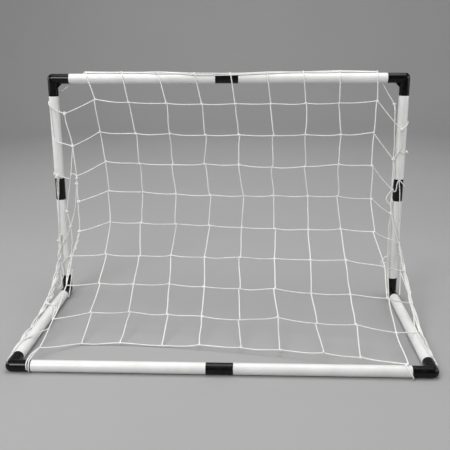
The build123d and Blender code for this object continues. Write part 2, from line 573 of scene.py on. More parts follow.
class TreeInputs:
    """A geometry tree's named inputs, set on a modifier by their sockets' identifiers."""

    def __init__(self, name: str) -> None:
        """Starts a geometry tree with its geometry sockets.

        Args:
            name: the tree's name.
        """
        self.tree = bpy.data.node_groups.new(name, "GeometryNodeTree")
        self.kit = NodeKit(self.tree)
        self.identifiers: dict[str, str] = {}
        self.tree.interface.new_socket("Geometry", in_out="INPUT", socket_type="NodeSocketGeometry")
        self.tree.interface.new_socket("Geometry", in_out="OUTPUT", socket_type="NodeSocketGeometry")

    def declare(self, **kinds: str) -> bpy.types.Node:
        """Adds named inputs.

        Args:
            kinds: each input's name, with its socket type after NodeSocket.

        Returns:
            The group input node.
        """
        for name, kind in kinds.items():
            item = self.tree.interface.new_socket(name, in_out="INPUT", socket_type=f"NodeSocket{kind}")
            self.identifiers[name] = item.identifier
        return self.kit.add("NodeGroupInput")

    def close(self, geometry: bpy.types.NodeSocket, material: bpy.types.NodeSocket) -> None:
        """Ends the tree in Realize Instances and Set Material.

        Args:
            geometry: the made geometry.
            material: the material's socket.
        """
        smooth = self.kit.add("GeometryNodeSetShadeSmooth", {"Geometry": geometry})
        real = self.kit.add("GeometryNodeRealizeInstances", {"Geometry": smooth.outputs[0]})
        dressed = self.kit.add("GeometryNodeSetMaterial",
                               {"Geometry": real.outputs[0], "Material": material})
        self.kit.add("NodeGroupOutput", {"Geometry": dressed.outputs[0]})

    def run(self, name: str, source: bpy.types.Mesh, **values: object) -> bpy.types.Object:
        """Runs the tree on a mesh and keeps the result as a plain mesh.

        Args:
            name: the new piece's name.
            source: the mesh that the tree reads.
            values: the named inputs.

        Returns:
            The piece.
        """
        carrier = placed(f"{name}_source", source)
        modifier = carrier.modifiers.new("tree", "NODES")
        modifier.node_group = self.tree
        for key, value in values.items():
            modifier[self.identifiers[key]] = value
        bpy.context.view_layer.update()
        evaluated = carrier.evaluated_get(bpy.context.evaluated_depsgraph_get())
        mesh = bpy.data.meshes.new_from_object(evaluated)
        carrier.modifiers.remove(modifier)
        bpy.data.objects.remove(carrier)
        bpy.data.meshes.remove(source)
        mesh.name = name
        return placed(name, mesh)


class LaidCordTree(TreeInputs):
    """Geometry Nodes that loft polylines into laid cord: three plies that wind along the line."""

    plies: int = 3
    points_per_ply: int = 3

    def __init__(self) -> None:
        """Builds the tree."""
        super().__init__("laid_cord")
        kit = self.kit
        given = self.declare(cord_radius="Float", ply_depth="Float", lay_length="Float",
                             step_length="Float", finish="Material").outputs
        curve = kit.add("GeometryNodeMeshToCurve", {"Mesh": given["Geometry"]})
        soft = kit.add("GeometryNodeCurveSplineType", {"Curve": curve.outputs[0]},
                       spline_type="CATMULL_ROM")
        even = kit.add("GeometryNodeResampleCurve",
                       {"Curve": soft.outputs[0], "Length": given["step_length"]}, mode="LENGTH")
        length = kit.add("GeometryNodeSplineParameter").outputs["Length"]
        turn = kit.math("MULTIPLY", kit.math("DIVIDE", length, given["lay_length"]), 2 * math.pi)
        twisted = kit.add("GeometryNodeSetCurveTilt", {"Curve": even.outputs[0], "Tilt": turn})
        circle = kit.add("GeometryNodeCurvePrimitiveCircle",
                         {"Resolution": self.plies * self.points_per_ply, "Radius": given["cord_radius"]})
        index = kit.add("GeometryNodeInputIndex").outputs[0]
        wave = kit.math("COSINE", kit.math("MULTIPLY", index, 2 * math.pi / self.points_per_ply))
        scale = kit.math("ADD", kit.math("MULTIPLY", wave, given["ply_depth"]), 1.0)
        place = kit.add("GeometryNodeInputPosition").outputs[0]
        lobed = kit.add("ShaderNodeVectorMath", {0: place, "Scale": scale}, operation="SCALE")
        profile = kit.add("GeometryNodeSetPosition",
                          {"Geometry": circle.outputs[0], "Position": lobed.outputs[0]})
        cord = kit.add("GeometryNodeCurveToMesh",
                       {"Curve": twisted.outputs[0], "Profile Curve": profile.outputs[0],
                        "Fill Caps": True})
        self.close(cord.outputs[0], given["finish"])


class KnotTree(TreeInputs):
    """Geometry Nodes that tie a small three-lobed knot at every point."""

    points: int = 22
    lobe: float = 2.0  # how far the lobes go out, where the ring that they are bent from is 1
    depth: float = 1.3  # how far the path goes up and down
    twine_sides: int = 6
    reach: float = 1.0 + lobe  # how far out the path comes

    def __init__(self) -> None:
        """Builds the tree."""
        super().__init__("twine_knots")
        kit = self.kit
        given = self.declare(knot_size="Float", twine_radius="Float", turn_seed="Int",
                             finish="Material").outputs
        ring = kit.add("GeometryNodeCurvePrimitiveCircle", {"Resolution": self.points, "Radius": 1.0})
        index = kit.add("GeometryNodeInputIndex").outputs[0]
        angle = kit.math("MULTIPLY", index, 2 * math.pi / self.points)
        double = kit.math("MULTIPLY", angle, 2.0)
        x = kit.math("ADD", kit.math("SINE", angle),
                     kit.math("MULTIPLY", kit.math("SINE", double), self.lobe))
        y = kit.math("SUBTRACT", kit.math("COSINE", angle),
                     kit.math("MULTIPLY", kit.math("COSINE", double), self.lobe))
        z = kit.math("MULTIPLY", kit.math("SINE", kit.math("MULTIPLY", angle, 3.0)), -self.depth)
        place = kit.add("ShaderNodeCombineXYZ", {0: x, 1: y, 2: z}).outputs[0]
        sized = kit.add("ShaderNodeVectorMath", {0: place, "Scale": given["knot_size"]}, operation="SCALE")
        line = kit.add("GeometryNodeSetPosition",
                       {"Geometry": ring.outputs[0], "Position": sized.outputs[0]})
        round_cord = kit.add("GeometryNodeCurvePrimitiveCircle",
                             {"Resolution": self.twine_sides, "Radius": given["twine_radius"]})
        knot = kit.add("GeometryNodeCurveToMesh",
                       {"Curve": line.outputs[0], "Profile Curve": round_cord.outputs[0]})
        spots = kit.add("GeometryNodeMeshToPoints", {"Mesh": given["Geometry"]})
        turn = kit.add("FunctionNodeRandomValue",
                       {"Min": (0.0,) * 3, "Max": (ANY_TURN,) * 3, "Seed": given["turn_seed"]},
                       data_type="FLOAT_VECTOR")
        tied = kit.add("GeometryNodeInstanceOnPoints",
                       {"Points": spots.outputs[0], "Instance": knot.outputs[0],
                        "Rotation": turn.outputs[0]})
        self.close(tied.outputs[0], given["finish"])


def smooth_line(points: Sequence[Sequence[float]]) -> np.ndarray:
    """Runs a Catmull-Rom line through points.

    Args:
        points: the points, of any dimension.

    Returns:
        The line's points, one row each.
    """
    given = np.array(points, float)
    padded = np.vstack([2 * given[0] - given[1], given, 2 * given[-1] - given[-2]])
    steps = np.linspace(0.0, 1.0, SPAN_STEPS, endpoint=False)[:, None]
    spans = []
    for a, b, c, d in zip(padded, padded[1:], padded[2:], padded[3:]):
        spans.append(0.5 * (2 * b + (c - a) * steps + (2 * a - 5 * b + 4 * c - d) * steps**2
                            + (3 * b - a - 3 * c + d) * steps**3))
    return np.vstack([*spans, given[-1:]])


def step_lengths(line: np.ndarray) -> np.ndarray:
    """The distances from each of a line's points to the next."""
    return np.linalg.norm(np.diff(line, axis=0), axis=1)


def along(line: np.ndarray, distances: Sequence[float]) -> np.ndarray:
    """The points at given distances along a line.

    Args:
        line: the line's points.
        distances: distances from its start.

    Returns:
        One point for each distance, held at the line's end past its length.
    """
    travelled = np.concatenate([[0.0], np.cumsum(step_lengths(line))])
    return np.stack([np.interp(distances, travelled, column) for column in line.T], axis=1)


def polyline_mesh(name: str, lines: Sequence[np.ndarray]) -> bpy.types.Mesh:
    """Makes a mesh of separate polylines.

    Args:
        name: the mesh's name.
        lines: each line's points, one for a loose vertex.

    Returns:
        A mesh of vertices and edges.
    """
    vertices, edges = [], []
    for line in lines:
        start = len(vertices)
        vertices.extend(tuple(map(float, point)) for point in line)
        edges.extend((start + n, start + n + 1) for n in range(len(line) - 1))
    mesh = bpy.data.meshes.new(name)
    mesh.from_pydata(vertices, edges, [])
    return mesh


@dataclass
class Drape:
    """Lets the net's strings hang: each keeps its length, and none enters a tube or the floor."""

    capsules: list[tuple[Point, Point]]
    clear: float  # how far a point stays from a tube's axis
    floor: float  # how low it may go
    steps: int = 50
    rounds: int = 8  # of drawing the strings to their lengths, at each step
    last_rounds: int = 1500
    damping: float = 0.86
    fall: float = 0.008 * MM  # how far a free point drops in one step
    correction: float = 1.6  # how much of a string's excess is taken up at once

    def settle(self, points: np.ndarray, pairs: np.ndarray, lengths: np.ndarray,
               held: np.ndarray) -> np.ndarray:
        """Relaxes a web of points joined by strings, then draws the strings to their lengths.

        Args:
            points: where the points start.
            pairs: the two points of each string.
            lengths: each string's length.
            held: which points stay where they are.

        Returns:
            Where the points come to rest.
        """
        now, before = points.copy(), points.copy()
        weight = np.zeros(len(points))
        np.add.at(weight, pairs.ravel(), 1.0)
        share = (~held / np.maximum(weight, 1.0))[:, None]
        for _ in range(self.steps):
            move = (now - before) * self.damping
            before = now.copy()
            now = now + ~held[:, None] * (move - np.array([0.0, 0.0, self.fall]))
            now = self.pushed_out(self.drawn(now, pairs, lengths, share, self.rounds))
        return self.pushed_out(self.drawn(now, pairs, lengths, share, self.last_rounds))

    def drawn(self, points: np.ndarray, pairs: np.ndarray, lengths: np.ndarray, share: np.ndarray,
              rounds: int) -> np.ndarray:
        """Shortens strings that are longer than their lengths.

        Args:
            points: where the points are.
            pairs: the two points of each string.
            lengths: each string's length.
            share: how much of each correction a point takes, 0 for a held one.
            rounds: how often all strings are corrected.

        Returns:
            The corrected points.
        """
        for _ in range(rounds):
            gap = points[pairs[:, 1]] - points[pairs[:, 0]]
            far = np.linalg.norm(gap, axis=1)
            shift = gap * (0.5 * np.maximum(far - lengths, 0.0) / np.maximum(far, TINY))[:, None]
            change = np.zeros_like(points)
            np.add.at(change, pairs[:, 0], shift)
            np.add.at(change, pairs[:, 1], -shift)
            points = points + self.correction * change * share
        return points

    def pushed_out(self, points: np.ndarray) -> np.ndarray:
        """Moves points out of the tubes and up to the floor.

        Args:
            points: the points to correct.

        Returns:
            The corrected points.
        """
        for low, high in self.capsules:
            start, run = np.array(low), np.array(high) - np.array(low)
            share = np.clip(((points - start) @ run) / (run @ run), 0.0, 1.0)
            gap = points - (start + share[:, None] * run)
            far = np.linalg.norm(gap, axis=1)
            inside = far < self.clear
            missing = (self.clear - far[inside]) / np.maximum(far[inside], TINY)
            points[inside] += gap[inside] * missing[:, None]
        points[:, 2] = np.maximum(points[:, 2], self.floor)
        return points


@dataclass
class Ropework:
    """Makes pieces of cord and knots in the net's finish."""

    finish: bpy.types.Material
    twine_radius: float = 1.4 * MM
    border_radius: float = 1.65 * MM
    ply_depth: float = 0.13  # how far the plies stand out, as a share of the cord's radius
    lay_diameters: float = 5.0  # how many cord diameters a full turn of the plies takes
    step_share: float = 1.15  # of the cord's radius
    knot_size: float = 0.80 * MM
    knot_growth: float = 0.5  # the power of a knot's size that its twine grows by

    def __post_init__(self) -> None:
        """Builds the two trees."""
        self.cords = LaidCordTree()
        self.knots = KnotTree()

    def cord(self, name: str, lines: Sequence[np.ndarray], radius: float) -> bpy.types.Object:
        """Lofts lines into cord.

        Args:
            name: the piece's name.
            lines: each cord's line.
            radius: the cord's radius.

        Returns:
            The piece.
        """
        piece = self.cords.run(name, polyline_mesh(name, lines), cord_radius=radius,
                               ply_depth=self.ply_depth, lay_length=2 * radius * self.lay_diameters,
                               step_length=radius * self.step_share, finish=self.finish)
        LOG.info("%s: %.2f m of cord", name, sum(step_lengths(line).sum() for line in lines))
        return self.dressed(piece)

    def knot(self, name: str, points: Sequence[Sequence[float]], size: float = 1.0,
             seed: int = 3) -> bpy.types.Object:
        """Ties knots at points.

        Args:
            name: the piece's name.
            points: where the knots are.
            size: their size, as a share of a plain mesh knot.
            seed: the seed of their random turns.

        Returns:
            The piece.
        """
        spots = np.array(points)
        spots[:, 2] = np.maximum(spots[:, 2], self.knot_reach(size))
        piece = self.knots.run(name, polyline_mesh(name, spots[:, None]), knot_size=self.knot_size * size,
                               twine_radius=self.twine_radius * size ** self.knot_growth,
                               turn_seed=seed, finish=self.finish)
        return self.dressed(piece)

    def knot_reach(self, size: float) -> float:
        """How far a knot reaches from its middle.

        Args:
            size: its size, as a share of a plain mesh knot.

        Returns:
            The distance, in metres.
        """
        return KnotTree.reach * self.knot_size * size + self.twine_radius * size ** self.knot_growth

    def dressed(self, piece: bpy.types.Object) -> bpy.types.Object:
        """Reports a piece.

        Args:
            piece: the new piece.

        Returns:
            The same piece.
        """
        LOG.info("%s: %d faces", piece.name, len(piece.data.polygons))
        return piece


def hang(piece: bpy.types.Object) -> None:
    """Bakes a piece of net's transform into its mesh.

    Args:
        piece: the piece.
    """
    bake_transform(piece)


@dataclass
class TubeFrame:
    """The push-fit frame: its packed tubes and connectors get their finishes."""

    finishes: Finishes

    def build(self) -> None:
        """Gives every tube and connector its finish."""
        runs = {"crossbar": Run.ACROSS, "rear_bar": Run.ACROSS, "post": Run.UP, "side": Run.BACK}
        for name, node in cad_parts.items():
            if "tube" in name:
                run = next(run for word, run in runs.items() if word in name)
                self.coat(node, self.finishes.tubes[run])
            elif "elbow" in name or "coupler" in name:
                self.coat(node, self.finishes.connector)

    def coat(self, node: bpy.types.Object, material: bpy.types.Material) -> None:
        """Puts a material in every slot of a node.

        Args:
            node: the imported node's object.
            material: the finish.
        """
        for slot in node.material_slots:
            slot.material = material
        LOG.info("%s: %s", node.name, material.name)


@dataclass
class NetField:
    """The field of square mesh between the posts, from the crossbar down and back to its foot.

    Columns are counted from the left and rows from the crossbar. Profiles are (distance behind the
    hanging net, height above the ground) points that the first and last columns follow, and insets
    are their (row, distance inwards from the post's axis). The edges are the outermost columns,
    which are laced to the posts and the ground tubes. All of these are in millimetres.
    """

    places: FramePlaces
    ropes: Ropework
    columns: int = 9
    rows: int = 9
    last_upper_row: int = 4  # its knots, and the strings that start above it, are the upper field's last
    left_edge: Route = ((30, 5, 501), (46, 5, 417), (51, 5, 338), (52, 7, 269), (51, 13, 189),
                        (30, 27, 123), (40, 131, 79), (36, 247, 36), (40, 371, 21))
    right_edge: Route = ((3, 0, 460), (20, 0, 384), (18, 0, 303), (17, 0, 238), (-8, 9, 159),
                         (-17, 47, 97), (-17, 150, 49), (-17, 252, 14))
    profiles: tuple = (((7.0, 534.0), (0.0, 300.0), (14.0, 214.0), (55.0, 138.0), (138.0, 88.0),
                        (310.0, 3.0)),
                       ((0.0, 533.0), (23.0, 400.0), (36.0, 288.0), (65.0, 211.0), (148.0, 148.0),
                        (236.0, 95.0), (436.0, 30.0)))  # left and right
    insets: tuple = (((0.0, 87.0), (1.0, 111.0), (4.0, 138.0), (6.0, 128.0), (9.0, 127.0)),
                     ((0.0, 71.0), (1.0, 73.0), (2.0, 79.0), (3.0, 78.0), (6.0, 62.0), (9.0, 55.0)))
    laced: tuple = ((Side.RIGHT, 1), (Side.LEFT, 5))  # edge strings that the lacing makes
    row_shifts: tuple = ((2.5, 0.0), (9.0, 0.0), (8.0, 0.0), (3.5, 6.5), (6.5, 10.5), (3.5, 9.5),
                         (2.0, 4.0), (1.5, 1.0), (4.0, 2.0))  # sideways at the row's middle, and up
    knot_shifts: tuple = ((8, 5, 0, -4), (8, 6, 0, -15), (8, 7, 0, -4), (8, 8, 0, -12), (1, 9, -10, 0),
                          (5, 9, 6, 0), (6, 9, 8, 2))  # column, row, sideways, up
    cells: tuple[Span, Span] = ((79.0, 96.0), (80.0, 108.0))  # left and right, each at the top and foot
    mix_rows: Span = (5, 9)  # between these rows, the middle columns come to follow the left profile
    mix_power: float = 1.2
    dip: float = 12.0  # how far the first row hangs down at its middle
    dip_fade: tuple = (1.2, 4.0, 0.25)  # the share at row 0, the rows that take 1 off it, the least share
    wander: float = 3.2  # how far a knot usually strays
    wander_shares: tuple = (1.0, 0.6, 0.8)  # along each axis
    most_wander: float = 1.8  # times the usual
    jog: float = 2.1  # how far a string leaves its knot's middle sideways
    bow: float = 0.5  # how far a string strays from its line between its knots
    pieces_per_string: int = 6
    slack: Span = (0.0, 0.0004)  # a string's spare length, as a share of its own
    wrap_angles: Span = (80.0, 178.0)  # how far round the crossbar a column's string lies, in degrees
    wrap_points: int = 7
    wrap_lean: float = 0.3  # how much of its way sideways to the first row it makes there
    drop_points: int = 4  # from there down to the first row
    seed: int = 11
    hang_y: float = field(init=False)
    knots: np.ndarray = field(init=False)
    upper_lines: list[np.ndarray] = field(init=False)
    lower_lines: list[np.ndarray] = field(init=False)
    foot_lines: list[np.ndarray] = field(init=False)

    def lay_out(self) -> None:
        """Places every knot of the field by its profiles, insets and a little seeded wander."""
        rng = np.random.default_rng(self.seed)
        self.hang_y = self.places.mouth_y - self.places.radius - self.ropes.twine_radius - HANGING_GAP
        rows = np.arange(1, self.rows + 1)
        edges = [self.edge_knots(profile, *cells) for profile, cells in zip(self.profiles, self.cells)]
        insets = [np.interp(np.arange(self.rows + 1), *zip(*pairs)) * MM for pairs in self.insets]
        first, last = self.mix_rows
        power = 1.0 + self.mix_power * np.clip((rows - first) / (last - first), 0.0, 1.0)
        start, over, least = self.dip_fade
        fade = np.clip(start - rows / over, least, 1.0) * (rows < self.rows)
        self.knots = np.zeros((self.columns, self.rows + 1, 3))
        for column in range(self.columns):
            share = column / (self.columns - 1)
            x = (-self.places.post_x + insets[0]) * (1 - share) + (self.places.post_x - insets[1]) * share
            self.knots[column, :, 0] = x
            mix = (share ** power)[:, None]
            self.knots[column, 1:, 1:] = edges[0] * (1 - mix) + edges[1] * mix
            self.knots[column, 1:, 2] -= self.dip * MM * math.sin(math.pi * share) * fade
            self.knots[column, 0, 1:] = self.hang_y, self.places.crossbar_z
        spread = rng.normal(0.0, 1.0, (self.columns, self.rows, 3)) * self.wander_shares
        self.knots[:, 1:] += np.clip(spread, -self.most_wander, self.most_wander) * self.wander * MM
        bow = np.sin(np.linspace(0.0, math.pi, self.columns))[:, None]
        sideways, up = np.array(self.row_shifts).T
        self.knots[:, 1:, 0] += bow * sideways * MM
        self.knots[:, 1:, 2] += up * MM
        for column, row, across, raised in self.knot_shifts:
            self.knots[column, row] += (across * MM, 0.0, raised * MM)
        self.knots[:, 1:, 2] = np.maximum(self.knots[:, 1:, 2], self.ropes.border_radius)

    def edge_knots(self, profile: tuple, top: float, foot: float) -> np.ndarray:
        """Spaces one column's knots down its profile, by cells that lengthen towards the foot.

        Args:
            profile: (distance behind the hanging net, height) points, in millimetres.
            top: the first cell's length, in millimetres.
            foot: the last cell's length, in millimetres.

        Returns:
            The (y, z) of each knot from the first row to the last, in metres.
        """
        line = smooth_line(profile) * MM
        cells = np.linspace(top, foot, self.rows - 1) * MM
        reached = np.concatenate([[0.0], np.cumsum(cells)])
        spots = along(line, reached * step_lengths(line).sum() / reached[-1])
        return np.stack([self.hang_y - spots[:, 0], spots[:, 1]], axis=1)

    def over_crossbar(self, column: int) -> np.ndarray:
        """The stretch of a column's string that lies on the crossbar.

        Args:
            column: the column's number.

        Returns:
            Points from the crossbar's top round to the side where the net hangs.
        """
        x = self.knots[column, 0, 0]
        lean = self.knots[column, 1, 0] - x
        angles = np.radians(np.linspace(*self.wrap_angles, self.wrap_points))
        share = np.linspace(0.0, self.wrap_lean, self.wrap_points)
        return self.places.round_crossbar(x + lean * share, angles, self.clearance())

    def clearance(self) -> float:
        """How far a hanging string's middle stays from a tube's axis."""
        return self.places.radius + self.ropes.twine_radius + HANGING_GAP

    def strings(self) -> tuple[list[np.ndarray], list[int]]:
        """Cuts every side of every mesh into short pieces.

        Returns:
            Each string's points, and the row that it starts from.
        """
        rng = np.random.default_rng(self.seed + 1)
        shares = np.linspace(0.0, 1.0, self.pieces_per_string + 1)[:, None]
        lines, starts = [], []
        jog = np.array([self.jog * MM, 0.0, 0.0])
        for column in range(self.columns):
            for row in range(1, self.rows + 1):
                knot = self.knots[column, row]
                side = rng.choice([-1.0, 1.0])
                if row < self.rows:
                    below = self.knots[column, row + 1]
                    lines.append((knot - jog * side) * (1 - shares) + (below + jog * side) * shares)
                    starts.append(row)
                if column + 1 < self.columns:
                    lines.append(knot * (1 - shares) + self.knots[column + 1, row] * shares)
                    starts.append(row)
        for side, edge, column in ((Side.LEFT, self.left_edge, 0), (Side.RIGHT, self.right_edge, -1)):
            spots = [self.places.spot(side, self.hang_y, *spot) for spot in edge]
            for row, spot in enumerate(spots, 1):
                lines.append(self.knots[column, row] * (1 - shares) + spot * shares)
                starts.append(row)
                if row < len(spots) and (side, row) not in self.laced:
                    lines.append(spot * (1 - shares) + spots[row] * shares)
                    starts.append(row)
        return lines, starts

    def hang_strings(self) -> None:
        """Lets the strings hang, and sorts them into the upper field, the lower field and the foot."""
        rng = np.random.default_rng(self.seed + 2)
        lines, starts = self.strings()
        count = self.pieces_per_string + 1
        points = np.vstack(lines)
        first = np.arange(len(lines)) * count
        pairs = np.concatenate([np.stack([first + n, first + n + 1], axis=1) for n in range(count - 1)])
        slack = 1.0 + rng.uniform(*self.slack, len(lines))
        gaps = np.linalg.norm(points[pairs[:, 1]] - points[pairs[:, 0]], axis=1)
        held = np.zeros(len(points), bool)
        held[first] = held[first + count - 1] = True
        drape = Drape(self.places.capsules(), self.clearance(), self.ropes.twine_radius)
        settled = drape.settle(points, pairs, gaps * np.tile(slack, count - 1), held)
        settled = settled.reshape(len(lines), count, 3)
        bow = np.sin(np.linspace(0.0, math.pi, count))[None, :, None]
        ripple = np.sin(np.linspace(0.0, 2 * math.pi, count))[None, :, None]
        for wave in (bow, ripple):
            settled += rng.normal(0.0, self.bow * MM, (len(lines), 1, 3)) * wave
        settled[:, :, 2] = np.maximum(settled[:, :, 2], self.ropes.twine_radius)
        split = self.last_upper_row
        self.upper_lines = [line for line, row in zip(settled, starts) if row < split]
        self.lower_lines = [line for line, row in zip(settled, starts) if split <= row < self.rows]
        self.foot_lines = [line for line, row in zip(settled, starts) if row == self.rows]
        for column in range(self.columns):
            wrap = self.over_crossbar(column)
            drop = np.linspace(wrap[-1], self.knots[column, 1], self.drop_points + 1)[1:]
            self.upper_lines.append(np.vstack([wrap, drop]))

    def build(self) -> None:
        """Makes the field's twine and knots, one pair of pieces above the posts' joint, one below."""
        self.lay_out()
        self.hang_strings()
        upper = self.ropes.cord("net_field_upper", self.upper_lines, self.ropes.twine_radius)
        lower = self.ropes.cord("net_field_lower", self.lower_lines, self.ropes.twine_radius)
        split = self.last_upper_row + 1
        knots_above = self.ropes.knot("net_knots_upper", self.knots[:, 1:split].reshape(-1, 3))
        knots_below = self.ropes.knot("net_knots_lower", self.knots[:, split:].reshape(-1, 3))
        for piece in (upper, knots_above):
            hang(piece)
        for piece in (lower, knots_below):
            hang(piece)
        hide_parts("net_upper", "net_middle", "net_top_loops")
        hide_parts("net_lower", "net_foot")


@dataclass
class TopBorder:
    """The heavier cord along the top of the net, laid twice over the crossbar between the columns.

    At each column and midway between two, the bows are how far the cord stands off the crossbar, in
    millimetres, and the slips how far it has slid round towards the net, in degrees.
    """

    places: FramePlaces
    ropes: Ropework
    field: NetField
    bows: tuple = (2.2, 1.2, 1.0, 0.6, 1.8, 0.9, 0.5, 0.2, 0.3, 0.5, 0.6, 0.8, 0.5, 1.8, 3.0, 1.9, 0.5)
    slips: tuple = (0, 0, 4, 10, 18, 26, 36, 42, 40, 30, 22, 12, 4, 0, 0, 0, 0)
    tight_cord: Span = (99.0, 0.15)  # its angle round the crossbar in degrees, and its share of the bows
    bowed_cord: Span = (84.0, 1.0)
    angle_wander: float = 4.0
    knot_size: float = 0.85
    knot_lift: float = 1.3 * MM  # how far a knot sits outside the tight cord
    seed: int = 23

    def build(self) -> None:
        """Lays two cords, one drawn tight and one bowed up between the columns, and ties them."""
        rng = np.random.default_rng(self.seed)
        x = self.field.knots[:, 0, 0]
        stations = np.interp(np.arange(2 * len(x) - 1) / 2, np.arange(len(x)), x)
        rest = self.places.radius + self.ropes.border_radius + LYING_GAP
        laid = []
        for lean, lift in (self.tight_cord, self.bowed_cord):
            wander = rng.normal(0.0, self.angle_wander, len(stations))
            laid.append((np.radians(lean + np.array(self.slips) + wander),
                         rest + lift * np.array(self.bows) * MM))
        lines = [smooth_line(self.places.round_crossbar(stations, *cord)) for cord in laid]
        angles, reach = laid[0]
        ties = self.places.round_crossbar(stations, angles, reach + self.knot_lift)[::2]
        cords = self.ropes.cord("top_border", lines, self.ropes.border_radius)
        knots = self.ropes.knot("top_border_knots", ties, self.knot_size, self.seed)
        for piece in (cords, knots):
            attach(piece, Body.TOP.value)
        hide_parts("net_top_border")


@dataclass
class FootBorder:
    """The heavier cord along the foot of the net."""

    ropes: Ropework
    field: NetField

    def build(self) -> None:
        """Makes the cord, which stays with the base."""
        cord = self.ropes.cord("foot_border", self.field.foot_lines, self.ropes.border_radius)
        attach(cord, Body.BASE.value)
        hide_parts("net_foot_border")


@dataclass(frozen=True)
class Winding:
    """How strands wind round one route, unevenly."""

    strands: int
    spread: float  # how far they stand from the route, in millimetres
    turns: float
    aside: Point = (0.3, 0.2, 1.0)  # a direction that no route runs in
    waves: tuple[int, ...] = (2, 3, 4, 5, 6)  # half waves of the unevenness along the route
    wave_size: float = 0.5
    angle_share: float = 1.6  # how much of the unevenness goes into the angle
    reach_share: float = 0.45  # how much of it goes into the spread
    reach_delay: int = 9  # how many points later the spread follows it
    usual_reach: float = 0.75
    reach_limits: Span = (0.25, 1.7)
    end_reach: float = 0.35  # how much of the spread is left where the strands end
    end_share: float = 0.02  # how much of the route counts as its end

    def wound(self, middle: np.ndarray, rng: np.random.Generator) -> list[np.ndarray]:
        """Winds the strands round a line.

        Args:
            middle: the line's points.
            rng: the source of the unevenness.

        Returns:
            The strands' lines.
        """
        share = np.linspace(0.0, 1.0, len(middle))
        ahead = np.gradient(middle, axis=0)
        ahead /= np.linalg.norm(ahead, axis=1)[:, None]
        across = np.cross(ahead, self.aside)
        across /= np.linalg.norm(across, axis=1)[:, None]
        over = np.cross(ahead, across)
        swell = np.sin(math.pi * np.clip(share, self.end_share, 1.0 - self.end_share)) ** 0.5
        made = []
        for strand in range(self.strands):
            wobble = sum(rng.normal(0.0, self.wave_size)
                         * np.sin(math.pi * wave * share + rng.uniform(0, ANY_TURN))
                         for wave in self.waves)
            angle = 2 * math.pi * (strand / self.strands + self.turns * share) + self.angle_share * wobble
            late = self.usual_reach + self.reach_share * np.roll(wobble, self.reach_delay)
            reach = self.spread * MM * np.clip(late, *self.reach_limits)
            reach = reach * (self.end_reach + (1.0 - self.end_reach) * swell)
            made.append(middle + reach[:, None] * (np.cos(angle)[:, None] * across
                                                   + np.sin(angle)[:, None] * over))
        return made


@dataclass
class SideEdge:
    """One side of the net: the lacing round the post and the gathered edge along the ground tube.

    The upper and lower routes and knots are the lacing above and below the posts' joint. Doubled
    routes are lacing of several strands, the bundle is the gathered edge, and the tie holds its end
    at the rear corner.
    """

    side: Side
    places: FramePlaces
    ropes: Ropework
    hang_y: float
    upper: tuple[Route, ...]
    lower: tuple[Route, ...]
    doubled: tuple[Route, ...]
    bundle: Route
    knots_upper: Route
    knots_lower: Route
    tie: tuple[Route, ...]
    bundle_winding: Winding = Winding(strands=5, spread=4.0, turns=5.5)
    doubled_winding: Winding = Winding(strands=3, spread=2.1, turns=3.0)
    knot_size: float = 1.45
    knot_share: float = 0.7  # how much of a knot's reach lies between its middle and the tube's face
    knot_seeds: tuple[int, int] = (5, 7)
    seed: int = 31

    def spots(self, route: Route) -> np.ndarray:
        """The places of a route's points, in metres."""
        return np.array([self.places.spot(self.side, self.hang_y, *point) for point in route])

    def line(self, route: Route) -> np.ndarray:
        """Runs a smooth line through a route, outside the tubes and above the floor."""
        return self.clear(smooth_line(self.spots(route)))

    def clear(self, line: np.ndarray) -> np.ndarray:
        """Moves a line out of the tubes and the floor."""
        reach = self.places.radius + self.ropes.twine_radius + LYING_GAP
        return Drape(self.places.capsules(), reach, self.ropes.twine_radius).pushed_out(line)

    def wound(self, route: Route, winding: Winding, rng: np.random.Generator) -> list[np.ndarray]:
        """Winds strands round a route, outside the tubes and above the floor.

        Args:
            route: the route's points.
            winding: how they wind.
            rng: the source of their unevenness.

        Returns:
            The strands' lines.
        """
        return [self.clear(strand) for strand in winding.wound(smooth_line(self.spots(route)), rng)]

    def build(self) -> None:
        """Makes the side's pieces; the corner tie is attached to the base."""
        rng = np.random.default_rng(self.seed)
        word = self.side.word
        lower = [self.line(route) for route in self.lower]
        for route in self.doubled:
            lower.extend(self.wound(route, self.doubled_winding, rng))
        gathered = self.wound(self.bundle, self.bundle_winding, rng)
        lacing_above = self.cord(f"lacing_upper_{word}", [self.line(route) for route in self.upper])
        lacing_below = self.cord(f"lacing_lower_{word}", lower)
        edge = self.cord(f"gathered_edge_{word}", gathered)
        tie = self.cord(f"corner_tie_{word}", [self.line(route) for route in self.tie])
        seed_above, seed_below = self.knot_seeds
        hang(lacing_above)
        hang(self.knot(f"lacing_knots_upper_{word}", self.knots_upper, seed_above))
        hang(lacing_below)
        hang(self.knot(f"lacing_knots_lower_{word}", self.knots_lower, seed_below))
        hang(edge)
        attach(tie, Body.BASE.value)
        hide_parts(f"post_lacing_upper_{word}")
        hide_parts(f"post_lacing_lower_{word}")
        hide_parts(f"net_edge_bundle_{word}")
        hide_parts(f"net_corner_tie_{word}")

    def cord(self, name: str, lines: Sequence[np.ndarray]) -> bpy.types.Object:
        """Makes a piece of the net's twine from lines."""
        return self.ropes.cord(name, lines, self.ropes.twine_radius)

    def knot(self, name: str, route: Route, seed: int) -> bpy.types.Object:
        """Ties knots that lie on the tubes or stand clear of them.

        Args:
            name: the piece's name.
            route: the knots' places.
            seed: the seed of the knots' turns.

        Returns:
            The piece.
        """
        reach = self.ropes.knot_reach(self.knot_size)
        drape = Drape(self.places.capsules(), self.places.radius + self.knot_share * reach, reach)
        return self.ropes.knot(name, drape.pushed_out(self.spots(route)), self.knot_size, seed)


